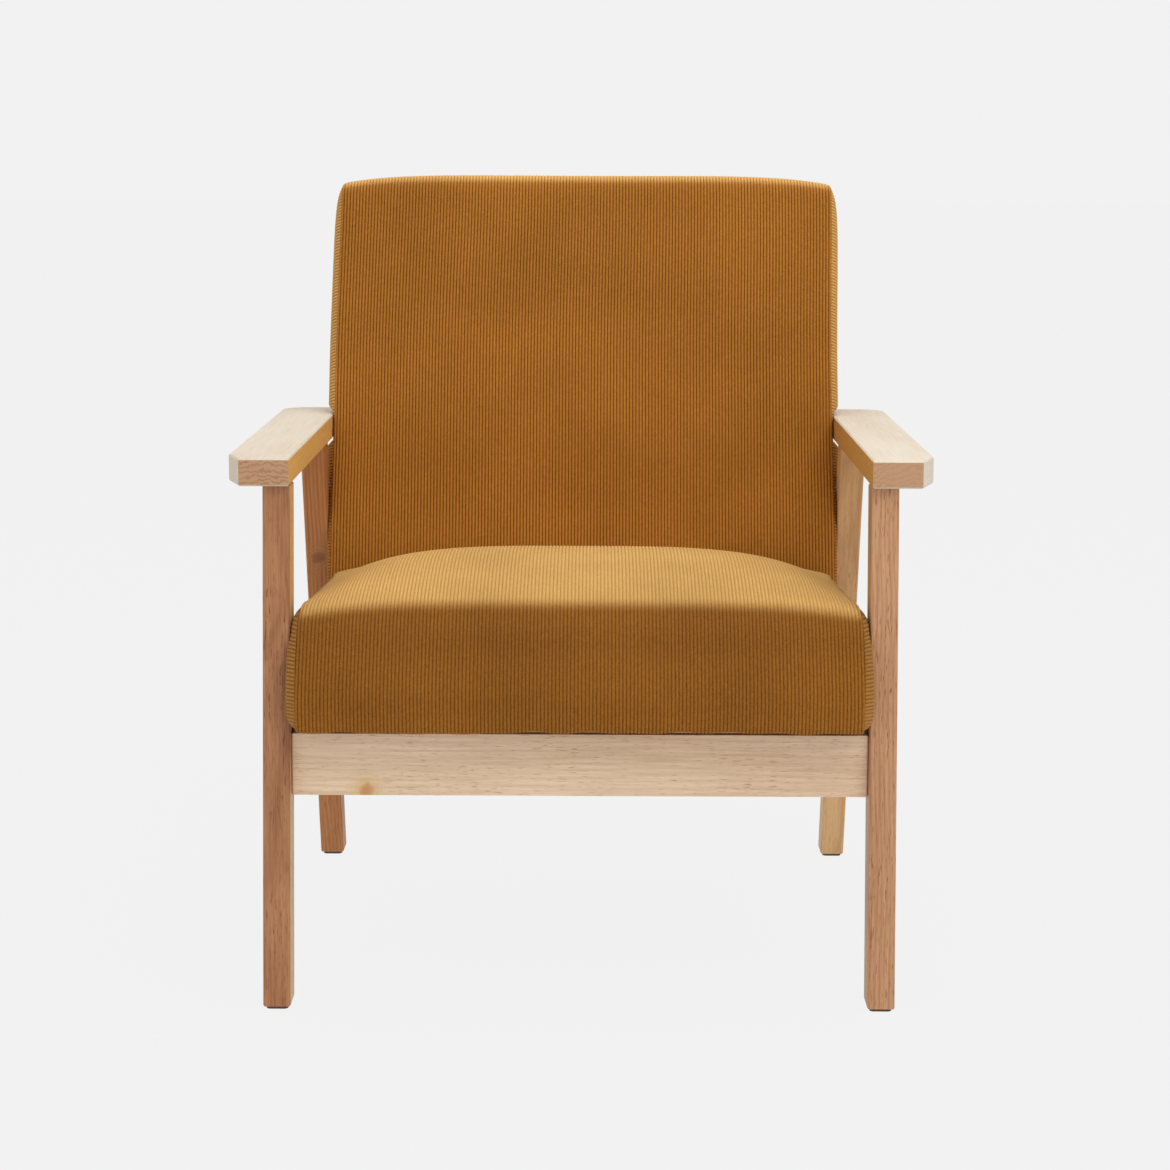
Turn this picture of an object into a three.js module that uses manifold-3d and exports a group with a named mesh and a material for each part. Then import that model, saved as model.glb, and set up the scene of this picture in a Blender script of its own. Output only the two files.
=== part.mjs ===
// Armchair with a solid wood frame and two upholstered pads, knock-down construction.
// Millimetres, +Z up. The sitter faces -Y, +X is the sitter's right as seen from the front.
// Every piece is a separate solid. Pieces that touch keep FIT between their faces.
import * as THREE from 'three';
import { mergeVertices } from 'three/addons/utils/BufferGeometryUtils.js';
import Module from 'manifold-3d';

const wasm = await Module();
wasm.setup();

// ---------------------------------------------------------------- driving dimensions
const FIT = 0.3;                    // clearance between touching pieces

const LEG_WIDTH = 25;               // every leg, across the chair
const FRONT_LEG_INNER = 264.5;      // chair centre to the inner face of a front leg
const REAR_LEG_INNER = 267;         // chair centre to the inner face of a rear leg
const FRONT_LEG_DEPTH = 34;         // measured level, front to back
const REAR_LEG_DEPTH = 36;
const FRONT_LEG_LEAN = 6.2;         // degrees, the foot stands forward of the top
const REAR_LEG_LEAN = 19.2;         // degrees, the foot stands behind the top
const FOOT_SPACING = 567.5;         // front face of the front foot to that of the rear foot

const ARM_UNDERSIDE = 478;
const ARM_THICKNESS = 25;
const ARM_OUTER = 324;              // chair centre to the outer edge of an armrest
const ARM_FRONT = 43;               // depth of the armrest's front end
const ARM_REAR = 552;
const ARM_CHAMFER_X = 14;           // outer front corner, cut off straight
const ARM_CHAMFER_Y = 42;
const ARM_REAR_RADIUS = 26;         // outer rear corner, rounded

const RAIL_BOTTOM = 194;
const RAIL_TOP = 251.5;
const RAIL_THICKNESS = 22;
const FRONT_RAIL_SETBACK = 10;      // behind the front face of the legs
const REAR_RAIL_SETBACK = 7;
const SIDE_RAIL_THICKNESS = 20;
const CLEAT_SIZE = 20;
const SEAT_LIFT = 6;                // the cleats hold the seat this far above the rails
const CLEAT_FRONT = 62;
const CLEAT_REAR = 392;

const SEAT_HALF_WIDTH = 263.5;
const SEAT_TOP = 380;
const SEAT_FRONT_RADIUS = 26;
const SEAT_FRAME_THICKNESS = 20;
const SEAT_FRAME_WIDTH = 45;

const BACK_HALF_WIDTH = 263;
const BACK_RECLINE = 20;            // degrees from upright
const BACK_THICKNESS = 90;
const BACK_FOOT_Y = 396.3;          // lower front edge of the back pad
const BACK_FOOT_Z = 310;
const CHAIR_HEIGHT = 751;           // top front edge of the back pad
const BACK_EDGE_RADIUS = 18;
const STILE_WIDTH = 25;
const STILE_THICKNESS = 22;
const STILE_OFFSET = 40;            // front of the inner back frame, behind the pad's front
const FRONT_FOAM_RADIUS = 12;
const REAR_FOAM_RADIUS = 8;

const COVER = 6.5;                  // cover fabric with its wadding
const HEM = 1.4;                    // cover folded under the seat frame
const SEAT_OPENING_X = 236;         // inside the hem, half width
const SEAT_OPENING_Y = [30, 342];
const ZIP_HALF = 190;               // closing slit in the foot of the back cover
const WEBBING = 1.5;
const STRAP_WIDTH = 60;
const DUST = 0.8;                   // lining tacked under the seat
const DUST_X = 245;
const DUST_Y = [59, 358];

const GLIDE_HEIGHT = 2.5;
const GLIDE_INSET = 2.5;
const GLIDE_PIN_R = 1.5;
const GLIDE_PIN = 14;

const BOLT_R = 3;                   // M6 connector bolts
const BOLT_HEAD_R = 5;
const BOLT_HEAD = 6;
const SOCKET_R = 2.9;               // hexagon socket in the head, across corners
const COUNTERBORE_R = 6.3;
const COUNTERBORE = 7;
const DOWEL_R = 4;
const DOWEL_GRIP = 12;              // how far a dowel enters each piece
const SCREW_R = 2;
const SCREW_HEAD_R = 4;
const SCREW_LENGTH = 34;
const CLEAT_SCREW_Y = [125, 345];
const SEAT_SCREW_Y = [90, 318];
const BARREL_R = 5;
const BARREL_LENGTH = 14;
const BARREL_FROM_LEG = 28;
const BOLT_REACH = 34;              // bolt beyond the leg's inner face
const INSERT_R = 5;
const INSERT_LENGTH = 13;
const BACK_BOLT_REACH = 18;         // bolt inside the back frame's stile
const EDGE = 1.2;                   // softened edge on the visible wood
const HOLE_SIDES = 12;              // facets round a hole, peg or shank
const HEAD_SIDES = 24;              // facets round a bolt head and its counterbore

// ---------------------------------------------------------------- derived dimensions
const radians = THREE.MathUtils.degToRad;
const FRONT_SLOPE = Math.tan(radians(FRONT_LEG_LEAN));
const REAR_SLOPE = Math.tan(radians(REAR_LEG_LEAN));
const BACK_SIN = Math.sin(radians(BACK_RECLINE));
const BACK_COS = Math.cos(radians(BACK_RECLINE));
const ROUNDED_LOSS = BACK_EDGE_RADIUS * (BACK_SIN + BACK_COS - 1);
const BACK_LENGTH = (CHAIR_HEIGHT - BACK_FOOT_Z + ROUNDED_LOSS) / BACK_COS;

const ARM_TOP = ARM_UNDERSIDE + ARM_THICKNESS;
const LEG_BOTTOM = GLIDE_HEIGHT + FIT;
const LEG_TOP = ARM_UNDERSIDE - FIT;
const TENON_WIDTH = 12;
const TENON_DEPTH = 20;
const TENON_LENGTH = 15;
const MORTISE_SPARE = 1;

const SEAT_BOTTOM = RAIL_TOP + SEAT_LIFT + FIT;
const SEAT_FRAME_BOTTOM = SEAT_BOTTOM + HEM + FIT;
const SEAT_FRAME_TOP = SEAT_FRAME_BOTTOM + SEAT_FRAME_THICKNESS;

const frontLegFace = (z) => FRONT_SLOPE * z;
const rearLegFace = (z) => FOOT_SPACING - REAR_SLOPE * z;
const backPadFace = (z) => BACK_FOOT_Y + (z - BACK_FOOT_Z) * BACK_SIN / BACK_COS;
const SEAT_REAR_GAP = 2;
const seatRear = (z) => backPadFace(z) - SEAT_REAR_GAP;
const SEAT_FRAME_HALF = SEAT_HALF_WIDTH - COVER - FIT;
const SEAT_FRAME_FRONT = COVER + FIT;
const SEAT_FRAME_REAR = seatRear(SEAT_BOTTOM) - COVER - FIT;

const RAIL_MIDDLE = (RAIL_BOTTOM + RAIL_TOP) / 2;
const BOLT_Z = RAIL_TOP - 11;
const DOWEL_Z = RAIL_BOTTOM + 11;
const SIDE_TENON = { halfHeight: 9, length: 14, inset: 5 };
const frontRailFace = frontLegFace(RAIL_MIDDLE) + FRONT_RAIL_SETBACK;
const frontRailMiddle = frontRailFace + RAIL_THICKNESS / 2;

const CLEAT_INNER = REAR_LEG_INNER - FIT - CLEAT_SIZE;
const CLEAT_TOP = RAIL_TOP + SEAT_LIFT;
const CLEAT_BOTTOM = CLEAT_TOP - CLEAT_SIZE;
const CLEAT_SCREW_Z = CLEAT_TOP - 13;
const SEAT_SCREW_X = CLEAT_INNER + 7;

const STILE_OUTER = BACK_HALF_WIDTH - COVER - FIT;
const BACK_BOLT_TIP = STILE_OUTER - BACK_BOLT_REACH;

const SIDES = [['L', -1], ['R', 1]];

// ---------------------------------------------------------------- materials
const WOOD = { color: 0xb98a58, roughness: 0.55, metalness: 0 };
const INNER_WOOD = { color: 0xc9ab7c, roughness: 0.75, metalness: 0 };
const CORDUROY = { color: 0xa06a2c, roughness: 0.95, metalness: 0 };
const FOAM = { color: 0xe6dcc2, roughness: 1, metalness: 0 };
const STRAP = { color: 0x2b2a28, roughness: 0.9, metalness: 0 };
const LINING = { color: 0x1c1b1b, roughness: 0.95, metalness: 0 };
const STEEL = { color: 0x9a9c9e, roughness: 0.35, metalness: 1 };
const PLASTIC = { color: 0x2a2420, roughness: 0.5, metalness: 0 };

const chair = new THREE.Group();

function add(name, geometry, finish, parent = chair) {
  geometry.computeVertexNormals();
  const mesh = new THREE.Mesh(geometry, new THREE.MeshStandardMaterial(finish));
  mesh.name = name;
  parent.add(mesh);
  return mesh;
}

// ---------------------------------------------------------------- solids
function toSolid(geometry) {
  const bare = geometry.clone();
  for (const key of Object.keys(bare.attributes)) {
    if (key !== 'position') bare.deleteAttribute(key);
  }
  const merged = mergeVertices(bare, 1e-4);
  const mesh = new wasm.Mesh({
    numProp: 3,
    vertProperties: new Float32Array(merged.attributes.position.array),
    triVerts: new Uint32Array(merged.index.array),
  });
  return new wasm.Manifold(mesh);
}

function toGeometry(solid) {
  const mesh = solid.getMesh();
  const geometry = new THREE.BufferGeometry();
  geometry.setAttribute('position', new THREE.BufferAttribute(new Float32Array(mesh.vertProperties), 3));
  geometry.setIndex(new THREE.BufferAttribute(new Uint32Array(mesh.triVerts), 1));
  return geometry.toNonIndexed();
}

function cut(geometry, tools) {
  const solid = tools.reduce((rest, tool) => rest.subtract(toSolid(tool)), toSolid(geometry));
  return toGeometry(solid);
}

function join(geometry, others) {
  const solid = others.reduce((sum, other) => sum.add(toSolid(other)), toSolid(geometry));
  return toGeometry(solid);
}

// ---------------------------------------------------------------- shapes
function block(x0, x1, y0, y1, z0, z1) {
  const box = new THREE.BoxGeometry(Math.abs(x1 - x0), Math.abs(y1 - y0), Math.abs(z1 - z0));
  return box.translate((x0 + x1) / 2, (y0 + y1) / 2, (z0 + z1) / 2);
}

function outlineOf(points) {
  return new THREE.Shape(points.map(([u, v]) => new THREE.Vector2(u, v)));
}

// A flat outline made solid between two levels, with both rims softened by `edge`.
function extrude(outline, low, high, edge) {
  return new THREE.ExtrudeGeometry(outline, {
    depth: high - low - 2 * edge,
    bevelEnabled: edge > 0,
    bevelThickness: edge,
    bevelSize: edge,
    bevelOffset: -edge,
    bevelSegments: 1,
    curveSegments: 6,
  }).translate(0, 0, low + edge);
}

// An outline in depth (Y) and height (Z), made solid across the chair from xa to xb.
const ACROSS = new THREE.Matrix4().makeBasis(
  new THREE.Vector3(0, 1, 0), new THREE.Vector3(0, 0, 1), new THREE.Vector3(1, 0, 0));

function profile(points, xa, xb, edge = 0) {
  const outline = Array.isArray(points) ? outlineOf(points) : points;
  return extrude(outline, Math.min(xa, xb), Math.max(xa, xb), edge).applyMatrix4(ACROSS);
}

// A rectangle in depth and height with its corners rounded.
function roundedProfile(y0, y1, z0, z1, radius) {
  const shape = new THREE.Shape();
  shape.moveTo(y0 + radius, z0);
  shape.lineTo(y1 - radius, z0);
  shape.absarc(y1 - radius, z0 + radius, radius, -Math.PI / 2, 0);
  shape.lineTo(y1, z1 - radius);
  shape.absarc(y1 - radius, z1 - radius, radius, 0, Math.PI / 2);
  shape.lineTo(y0 + radius, z1);
  shape.absarc(y0 + radius, z1 - radius, radius, Math.PI / 2, Math.PI);
  shape.lineTo(y0, z0 + radius);
  shape.absarc(y0 + radius, z0 + radius, radius, Math.PI, Math.PI * 1.5);
  return shape;
}

// A round bar along X from xa to xb.
function barX(radius, xa, xb, y, z, sides = HOLE_SIDES) {
  const bar = new THREE.CylinderGeometry(radius, radius, Math.abs(xb - xa), sides);
  return bar.rotateZ(Math.PI / 2).translate((xa + xb) / 2, y, z);
}

function barY(radius, ya, yb, x, z, sides = HOLE_SIDES) {
  return new THREE.CylinderGeometry(radius, radius, Math.abs(yb - ya), sides).translate(x, (ya + yb) / 2, z);
}

function barZ(radius, za, zb, x, y, sides = HOLE_SIDES) {
  const bar = new THREE.CylinderGeometry(radius, radius, Math.abs(zb - za), sides);
  return bar.rotateX(Math.PI / 2).translate(x, y, (za + zb) / 2);
}

// ---------------------------------------------------------------- joints in the wood
// Where the front and rear rails bolt to the legs on one side of the chair.
const railJoints = [
  { end: 'front', inner: FRONT_LEG_INNER, railY: () => frontRailMiddle },
  { end: 'rear', inner: REAR_LEG_INNER, railY: (z) => rearLegFace(z) + REAR_LEG_DEPTH / 2 },
];
// The back pad's inner frame crosses the rear leg below the arm, and the arm higher up.
const STILE_MIDDLE = STILE_OFFSET + STILE_THICKNESS / 2;
const stileY = (s) => BACK_FOOT_Y + STILE_MIDDLE * BACK_COS + s * BACK_SIN;
const stileZ = (s) => BACK_FOOT_Z - STILE_MIDDLE * BACK_SIN + s * BACK_COS;
const legMiddleAtFloor = FOOT_SPACING + REAR_LEG_DEPTH / 2;
const LOWER_BOLT_S = (legMiddleAtFloor - REAR_SLOPE * stileZ(0) - stileY(0))
  / (BACK_SIN + REAR_SLOPE * BACK_COS);
const UPPER_BOLT_S = (ARM_UNDERSIDE + ARM_THICKNESS / 2 - stileZ(0)) / BACK_COS;
const backBolts = [
  { name: 'lower', s: LOWER_BOLT_S, outer: REAR_LEG_INNER + LEG_WIDTH },
  { name: 'upper', s: UPPER_BOLT_S, outer: ARM_OUTER },
];

// A clearance hole with a counterbore in the outer face, for a connector bolt along X.
function boltHole(side, outer, inner, y, z) {
  return [
    barX(BOLT_R + FIT, side * (inner - 1), side * (outer + 1), y, z),
    barX(COUNTERBORE_R, side * (outer - COUNTERBORE), side * (outer + 1), y, z, HEAD_SIDES),
  ];
}

// ---------------------------------------------------------------- legs
function sideTenon(side, ya, yb, grow) {
  const xa = side * (REAR_LEG_INNER + SIDE_TENON.inset - grow);
  const xb = side * (REAR_LEG_INNER + SIDE_RAIL_THICKNESS - SIDE_TENON.inset + grow);
  const half = SIDE_TENON.halfHeight + grow;
  return block(xa, xb, ya, yb, RAIL_MIDDLE - half, RAIL_MIDDLE + half);
}

function leg(side, end) {
  const front = end === 'front';
  const face = front ? frontLegFace : rearLegFace;
  const depth = front ? FRONT_LEG_DEPTH : REAR_LEG_DEPTH;
  const inner = front ? FRONT_LEG_INNER : REAR_LEG_INNER;
  const outer = inner + LEG_WIDTH;
  const joint = railJoints.find((item) => item.end === end);
  const body = profile([
    [face(LEG_BOTTOM), LEG_BOTTOM],
    [face(LEG_BOTTOM) + depth, LEG_BOTTOM],
    [face(LEG_TOP) + depth, LEG_TOP],
    [face(LEG_TOP), LEG_TOP],
  ], side * inner, side * outer, EDGE);
  const middle = inner + LEG_WIDTH / 2;
  const topY = face(LEG_TOP) + depth / 2;
  const tenon = block(
    side * (middle - TENON_WIDTH / 2), side * (middle + TENON_WIDTH / 2),
    topY - TENON_DEPTH / 2, topY + TENON_DEPTH / 2,
    LEG_TOP - 5, LEG_TOP + TENON_LENGTH);
  const middleFace = face(RAIL_MIDDLE);
  const mortise = front
    ? sideTenon(side, middleFace + depth - SIDE_TENON.length - FIT, middleFace + depth + 10, FIT)
    : sideTenon(side, middleFace - 10, middleFace + SIDE_TENON.length + FIT, FIT);
  const glideY = face(0) + depth / 2;
  const tools = [
    mortise,
    ...boltHole(side, outer, inner, joint.railY(BOLT_Z), BOLT_Z),
    barX(DOWEL_R + FIT, side * (inner - 1), side * (inner + DOWEL_GRIP), joint.railY(DOWEL_Z), DOWEL_Z),
    barZ(GLIDE_PIN_R + FIT, 0, GLIDE_PIN + 1, side * middle, glideY),
  ];
  if (!front) {
    tools.push(...boltHole(side, outer, inner, stileY(LOWER_BOLT_S), stileZ(LOWER_BOLT_S)));
  }
  add(`${end}_leg_${side < 0 ? 'L' : 'R'}`, cut(join(body, [tenon]), tools), WOOD);
}

function glide(side, end) {
  const front = end === 'front';
  const face = (front ? frontLegFace : rearLegFace)(LEG_BOTTOM);
  const depth = front ? FRONT_LEG_DEPTH : REAR_LEG_DEPTH;
  const inner = front ? FRONT_LEG_INNER : REAR_LEG_INNER;
  const pad = extrude(padOutline(
    side * (inner + LEG_WIDTH / 2), face + depth / 2,
    LEG_WIDTH / 2 - GLIDE_INSET, depth / 2 - GLIDE_INSET), 0, GLIDE_HEIGHT, 0);
  const pin = barZ(GLIDE_PIN_R, GLIDE_HEIGHT - 1, GLIDE_PIN, side * (inner + LEG_WIDTH / 2),
    (front ? frontLegFace : rearLegFace)(0) + depth / 2);
  add(`foot_glide_${end}_${side < 0 ? 'L' : 'R'}`, join(pad, [pin]), PLASTIC);
}

function padOutline(x, y, halfX, halfY) {
  const radius = 4;
  const shape = new THREE.Shape();
  shape.moveTo(x - halfX + radius, y - halfY);
  shape.lineTo(x + halfX - radius, y - halfY);
  shape.absarc(x + halfX - radius, y - halfY + radius, radius, -Math.PI / 2, 0);
  shape.lineTo(x + halfX, y + halfY - radius);
  shape.absarc(x + halfX - radius, y + halfY - radius, radius, 0, Math.PI / 2);
  shape.lineTo(x - halfX + radius, y + halfY);
  shape.absarc(x - halfX + radius, y + halfY - radius, radius, Math.PI / 2, Math.PI);
  shape.lineTo(x - halfX, y - halfY + radius);
  shape.absarc(x - halfX + radius, y - halfY + radius, radius, Math.PI, Math.PI * 1.5);
  return shape;
}

// ---------------------------------------------------------------- armrests
function armrest(side) {
  const inner = FRONT_LEG_INNER;
  const outer = ARM_OUTER;
  const shape = new THREE.Shape();
  shape.moveTo(inner, ARM_FRONT);
  shape.lineTo(outer - ARM_CHAMFER_X, ARM_FRONT);
  shape.lineTo(outer, ARM_FRONT + ARM_CHAMFER_Y);
  shape.lineTo(outer, ARM_REAR - ARM_REAR_RADIUS);
  shape.absarc(outer - ARM_REAR_RADIUS, ARM_REAR - ARM_REAR_RADIUS, ARM_REAR_RADIUS, 0, Math.PI / 2);
  shape.lineTo(inner, ARM_REAR);
  const board = extrude(shape, ARM_UNDERSIDE, ARM_TOP, EDGE);
  const handed = side > 0 ? board : mirrored(board);
  const tools = [['front', frontLegFace, FRONT_LEG_DEPTH, FRONT_LEG_INNER],
    ['rear', rearLegFace, REAR_LEG_DEPTH, REAR_LEG_INNER]].map(([, face, depth, legInner]) => {
    const x = side * (legInner + LEG_WIDTH / 2);
    const y = face(LEG_TOP) + depth / 2;
    return block(
      x - TENON_WIDTH / 2 - FIT, x + TENON_WIDTH / 2 + FIT,
      y - TENON_DEPTH / 2 - FIT, y + TENON_DEPTH / 2 + FIT,
      ARM_UNDERSIDE - 1, LEG_TOP + TENON_LENGTH + MORTISE_SPARE);
  });
  tools.push(...boltHole(side, outer, inner, stileY(UPPER_BOLT_S), stileZ(UPPER_BOLT_S)));
  add(`armrest_${side < 0 ? 'L' : 'R'}`, cut(handed, tools), WOOD);
}

// The same solid on the other side of the chair, its faces still pointing out.
function mirrored(geometry) {
  const flipped = geometry.clone().applyMatrix4(new THREE.Matrix4().makeScale(-1, 1, 1));
  const plain = flipped.index ? flipped.toNonIndexed() : flipped;
  const position = plain.attributes.position.array;
  for (let i = 0; i < position.length; i += 9) {
    for (let k = 0; k < 3; k += 1) {
      const held = position[i + 3 + k];
      position[i + 3 + k] = position[i + 6 + k];
      position[i + 6 + k] = held;
    }
  }
  return plain;
}

// ---------------------------------------------------------------- rails and cleats
function crossRail(end) {
  const joint = railJoints.find((item) => item.end === end);
  const front = end === 'front';
  const near = (z) => (front ? frontRailFace : rearLegFace(z) + REAR_RAIL_SETBACK);
  const half = joint.inner - FIT;
  const body = profile([
    [near(RAIL_BOTTOM), RAIL_BOTTOM],
    [near(RAIL_BOTTOM) + RAIL_THICKNESS, RAIL_BOTTOM],
    [near(RAIL_TOP) + RAIL_THICKNESS, RAIL_TOP],
    [near(RAIL_TOP), RAIL_TOP],
  ], -half, half, EDGE);
  const boltY = joint.railY(BOLT_Z);
  const tools = SIDES.flatMap(([, side]) => [
    barX(BOLT_R + FIT, side * (joint.inner - BOLT_REACH - 1), side * (joint.inner + 1), boltY, BOLT_Z),
    barY(BARREL_R + FIT, boltY - BARREL_LENGTH / 2 - FIT, boltY + RAIL_THICKNESS,
      side * (joint.inner - BARREL_FROM_LEG), BOLT_Z),
    barX(DOWEL_R + FIT, side * (joint.inner - DOWEL_GRIP - 1), side * (joint.inner + 1),
      joint.railY(DOWEL_Z), DOWEL_Z),
  ]);
  add(`${end}_rail`, cut(body, tools), WOOD);
}

function sideRail(side) {
  const nearY = (z) => frontLegFace(z) + FRONT_LEG_DEPTH + FIT;
  const farY = (z) => rearLegFace(z) - FIT;
  const inner = side * REAR_LEG_INNER;
  const outer = side * (REAR_LEG_INNER + SIDE_RAIL_THICKNESS);
  const body = profile([
    [nearY(RAIL_BOTTOM), RAIL_BOTTOM],
    [farY(RAIL_BOTTOM), RAIL_BOTTOM],
    [farY(RAIL_TOP), RAIL_TOP],
    [nearY(RAIL_TOP), RAIL_TOP],
  ], inner, outer, EDGE);
  const tenons = [
    sideTenon(side, nearY(RAIL_MIDDLE) - SIDE_TENON.length, nearY(RAIL_MIDDLE) + 10, 0),
    sideTenon(side, farY(RAIL_MIDDLE) - 10, farY(RAIL_MIDDLE) + SIDE_TENON.length, 0),
  ];
  const holes = CLEAT_SCREW_Y.map((y) => barX(
    SCREW_R + FIT, side * (REAR_LEG_INNER - 1), side * (CLEAT_INNER + SCREW_LENGTH + 1), y, CLEAT_SCREW_Z));
  add(`side_rail_${side < 0 ? 'L' : 'R'}`, cut(join(body, tenons), holes), WOOD);
}

// A countersunk wood screw built along +Z with its head's face at the origin, pointing up.
function screwSolid(length, grow) {
  const head = SCREW_HEAD_R + grow;
  const shank = SCREW_R + grow;
  return new THREE.LatheGeometry([
    new THREE.Vector2(0, -grow),
    new THREE.Vector2(head, -grow),
    new THREE.Vector2(head, 0.3),
    new THREE.Vector2(shank, 2.4),
    new THREE.Vector2(shank, length - 4),
    new THREE.Vector2(0, length + grow),
  ], 12).rotateX(Math.PI / 2);
}

// Drives sit in the head: a plain square recess.
function screw(length) {
  const recess = block(-1.1, 1.1, -1.1, 1.1, -1, 1.6);
  return cut(screwSolid(length, 0), [recess]);
}

function cleatScrewPlace(geometry, side, y) {
  return geometry.rotateY(side * Math.PI / 2).translate(side * (CLEAT_INNER + FIT), y, CLEAT_SCREW_Z);
}

function seatScrewPlace(geometry, side, y) {
  return geometry.translate(side * SEAT_SCREW_X, y, CLEAT_BOTTOM + FIT);
}

function cleat(side) {
  const body = block(side * CLEAT_INNER, side * (CLEAT_INNER + CLEAT_SIZE), CLEAT_FRONT, CLEAT_REAR,
    CLEAT_BOTTOM, CLEAT_TOP);
  const tools = [
    ...CLEAT_SCREW_Y.map((y) => cleatScrewPlace(screwSolid(SCREW_LENGTH, FIT), side, y)),
    ...SEAT_SCREW_Y.map((y) => seatScrewPlace(screwSolid(SCREW_LENGTH, FIT), side, y)),
  ];
  add(`seat_cleat_${side < 0 ? 'L' : 'R'}`, cut(body, tools), INNER_WOOD);
}

function cleatAndSeatScrews(side, letter) {
  const ends = ['front', 'rear'];
  ends.forEach((end, i) => {
    add(`cleat_screw_${end}_${letter}`,
      cleatScrewPlace(screw(SCREW_LENGTH), side, CLEAT_SCREW_Y[i]), STEEL);
    add(`seat_screw_${end}_${letter}`,
      seatScrewPlace(screw(SCREW_LENGTH), side, SEAT_SCREW_Y[i]), STEEL);
  });
}

// ---------------------------------------------------------------- connector bolts
// Head seated at the bottom of the counterbore, shank running in to `inner`.
function bolt(side, outer, inner, y, z) {
  const seat = outer - COUNTERBORE + FIT;
  const head = barX(BOLT_HEAD_R, side * seat, side * (seat + BOLT_HEAD), y, z, HEAD_SIDES);
  const shank = barX(BOLT_R, side * inner, side * (seat + 1), y, z);
  const socket = barX(SOCKET_R, side * (seat + BOLT_HEAD - 3), side * (seat + BOLT_HEAD + 1), y, z, 6);
  return cut(join(head, [shank]), [socket]);
}

function railFasteners(side, letter) {
  for (const { end, inner, railY } of railJoints) {
    const y = railY(BOLT_Z);
    const tip = inner - BOLT_REACH;
    add(`${end}_rail_bolt_${letter}`, bolt(side, inner + LEG_WIDTH, tip, y, BOLT_Z), STEEL);
    const x = side * (inner - BARREL_FROM_LEG);
    const barrel = barY(BARREL_R, y - BARREL_LENGTH / 2, y + BARREL_LENGTH / 2, x, BOLT_Z);
    const thread = barX(BOLT_R + FIT, x - BARREL_R - 1, x + BARREL_R + 1, y, BOLT_Z);
    add(`${end}_barrel_nut_${letter}`, cut(barrel, [thread]), STEEL);
    const peg = barX(DOWEL_R, side * (inner - DOWEL_GRIP), side * (inner + DOWEL_GRIP - 1),
      railY(DOWEL_Z), DOWEL_Z);
    add(`${end}_rail_dowel_${letter}`, peg, INNER_WOOD);
  }
}

function backFasteners(side, letter) {
  for (const { name, s, outer } of backBolts) {
    const y = stileY(s);
    const z = stileZ(s);
    add(`back_bolt_${name}_${letter}`, bolt(side, outer, BACK_BOLT_TIP, y, z), STEEL);
    const sleeve = barX(INSERT_R, side * (STILE_OUTER - INSERT_LENGTH), side * (STILE_OUTER - 0.5), y, z);
    const bore = barX(BOLT_R + FIT, side * (STILE_OUTER - INSERT_LENGTH - 1), side * STILE_OUTER, y, z);
    add(`threaded_insert_${name}_${letter}`, cut(sleeve, [bore]), STEEL);
  }
}

// ---------------------------------------------------------------- seat pad
function seatScrewTools() {
  return SIDES.flatMap(([, side]) => SEAT_SCREW_Y.map(
    (y) => seatScrewPlace(screwSolid(SCREW_LENGTH, FIT), side, y)));
}

function seatFrame() {
  const levels = [SEAT_FRAME_BOTTOM, SEAT_FRAME_TOP];
  const half = SEAT_FRAME_HALF;
  const frontEdge = SEAT_FRAME_FRONT + SEAT_FRAME_WIDTH;
  const rearEdge = SEAT_FRAME_REAR - SEAT_FRAME_WIDTH;
  const tools = seatScrewTools();
  add('seat_frame_front', block(-half, half, SEAT_FRAME_FRONT, frontEdge, ...levels), INNER_WOOD);
  add('seat_frame_rear', block(-half, half, rearEdge, SEAT_FRAME_REAR, ...levels), INNER_WOOD);
  for (const [letter, side] of SIDES) {
    const rail = block(side * (half - SEAT_FRAME_WIDTH), side * half,
      frontEdge + FIT, rearEdge - FIT, ...levels);
    add(`seat_frame_${letter}`, cut(rail, tools), INNER_WOOD);
  }
}

// Straps stapled over a frame: `along` run one way and `across` the other, woven flat.
function webbing(name, box, along, across, width, parent) {
  const strips = [];
  for (let i = 0; i < across; i += 1) {
    const v = THREE.MathUtils.lerp(box.v0, box.v1, (i + 0.5) / across);
    strips.push(box.strip(box.u0, box.u1, v - width / 2, v + width / 2));
  }
  for (let i = 0; i < along; i += 1) {
    const u = THREE.MathUtils.lerp(box.u0, box.u1, (i + 0.5) / along);
    strips.push(box.strip(u - width / 2, u + width / 2, box.v0, box.v1));
  }
  add(name, join(strips[0], strips.slice(1)), STRAP, parent);
}

function seatProfile(inset, bottom) {
  const top = SEAT_TOP - inset;
  const radius = SEAT_FRONT_RADIUS - inset;
  const shape = new THREE.Shape();
  shape.moveTo(inset, bottom);
  shape.lineTo(seatRear(bottom) - inset, bottom);
  shape.lineTo(seatRear(top) - inset, top);
  shape.lineTo(inset + radius, top);
  shape.absarc(inset + radius, top - radius, radius, Math.PI / 2, Math.PI);
  return shape;
}

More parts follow.
